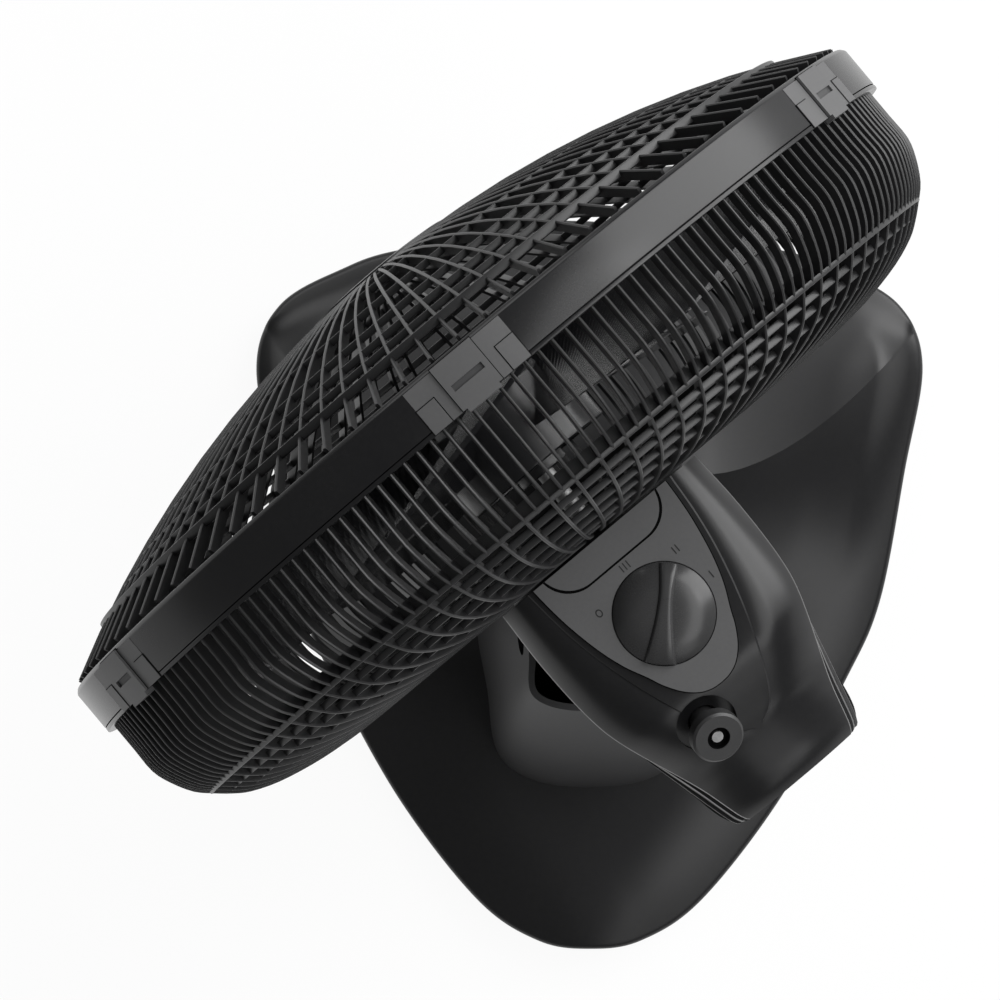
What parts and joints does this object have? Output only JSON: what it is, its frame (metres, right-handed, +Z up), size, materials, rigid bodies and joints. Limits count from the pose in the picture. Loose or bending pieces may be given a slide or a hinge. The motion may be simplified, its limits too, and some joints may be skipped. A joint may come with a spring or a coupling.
{
  "type": "turbo table fan",
  "caption": "Table fan with a round ribbed guard, swinging motor head with a top speed dial, and a rounded triangular base on a short tapered pedestal.",
  "frame": {"origin": "on the floor under the middle of the front rubber foot", "axes": "+Z up; -Y is the front of the base, where its ridges rise; +X across"},
  "size_m": [0.3833, 0.4091, 0.5293],
  "materials": {
    "black_plastic": "satin",
    "guard_plastic": "satin",
    "blade_plastic": "gloss",
    "gloss_plastic": "gloss",
    "white_plastic": "matte",
    "capacitor_case": "matte",
    "rubber": "matte",
    "steel": "brushed",
    "screw_steel": "satin",
    "cast_metal": "satin",
    "core_steel": "satin",
    "copper": "satin",
    "bearing_brass": "satin"
  },
  "bodies": {
    "base": {"base_shell": "black_plastic", "base_plate": "black_plastic", "rubber_feet": "rubber", "base_plate_screws": "screw_steel", "neck_column": "black_plastic", "column_screws": "screw_steel", "cord_inlet": "rubber", "tilt_bolt": "steel", "tilt_nut": "steel"},
    "neck": {"neck_bracket": "black_plastic", "pivot_bush": "white_plastic", "oscillation_arm": "steel"},
    "head": {"motor_cover_top": "black_plastic", "motor_cover_bottom": "black_plastic", "control_panel": "black_plastic", "front_collar": "black_plastic", "rear_grille": "guard_plastic", "front_grille": "guard_plastic", "rim_clips": "guard_plastic", "centre_cap": "black_plastic", "grille_lock_ring": "black_plastic", "motor_front_bracket": "cast_metal", "motor_rear_bracket": "cast_metal", "stator_core": "core_steel", "stator_winding": "copper", "front_bearing": "bearing_brass", "rear_bearing": "bearing_brass", "gear_housing": "white_plastic", "pivot_carrier": "steel", "pivot_pin": "steel", "speed_switch": "white_plastic", "capacitor": "capacitor_case", "motor_screws": "screw_steel", "cover_screws": "screw_steel", "carrier_screws": "screw_steel"},
    "rotor": {"fan_blade": "blade_plastic", "blade_nut": "blade_plastic", "rotor_shaft": "steel", "rotor_core": "core_steel", "drive_pin": "steel", "worm": "steel"},
    "worm_wheel": {"worm_wheel": "white_plastic"},
    "crank": {"crank": "steel"},
    "crank_link": {"crank_link": "steel"},
    "speed_dial": {"speed_dial": "gloss_plastic"},
    "clutch_knob": {"clutch_knob": "gloss_plastic", "clutch_rod": "steel"}
  },
  "joints": [
    {"name": "head_tilt", "type": "hinge", "parent": "base", "child": "neck", "pos_m": [0, 0.182, 0.168], "axis": [-1, 0, 0], "range_deg": [-2, 15]},
    {"name": "oscillation", "type": "hinge", "parent": "neck", "child": "head", "pos_m": [0, 0.1704, 0.24], "axis": [0, 0, 1], "range_deg": [-85, 5]},
    {"name": "blade_spin", "type": "hinge", "parent": "head", "child": "rotor", "pos_m": [0.04888, 0.07435, 0.312], "axis": [0.6428, -0.766, 0], "continuous": true},
    {"name": "worm_wheel_turn", "type": "hinge", "parent": "head", "child": "worm_wheel", "pos_m": [-0.03785, 0.2026, 0.312], "axis": [0, 0, 1], "continuous": true},
    {"name": "crank_turn", "type": "hinge", "parent": "head", "child": "crank", "pos_m": [-0.03785, 0.2026, 0.264], "axis": [0, 0, 1], "range_deg": [-10, 170]},
    {"name": "link_swing", "type": "hinge", "parent": "crank", "child": "crank_link", "pos_m": [-0.04965, 0.2125, 0.26], "axis": [0, 0, 1], "range_deg": [-170, 10]},
    {"name": "speed_dial_turn", "type": "hinge", "parent": "head", "child": "speed_dial", "pos_m": [-0.03083, 0.16934, 0.378], "axis": [0, 0, 1], "range_deg": [-42, 100]},
    {"name": "clutch_knob_push", "type": "slide", "parent": "head", "child": "clutch_knob", "axis": [-0.3214, 0.383, 0.866], "range_m": [-0.008, 0]}
  ],
  "couplings": [
    {"joint": "worm_wheel_turn", "follows": "blade_spin", "ratio": -0.05},
    {"joint": "crank_turn", "follows": "oscillation", "ratio": -2},
    {"joint": "link_swing", "follows": "oscillation", "ratio": 2}
  ]
}
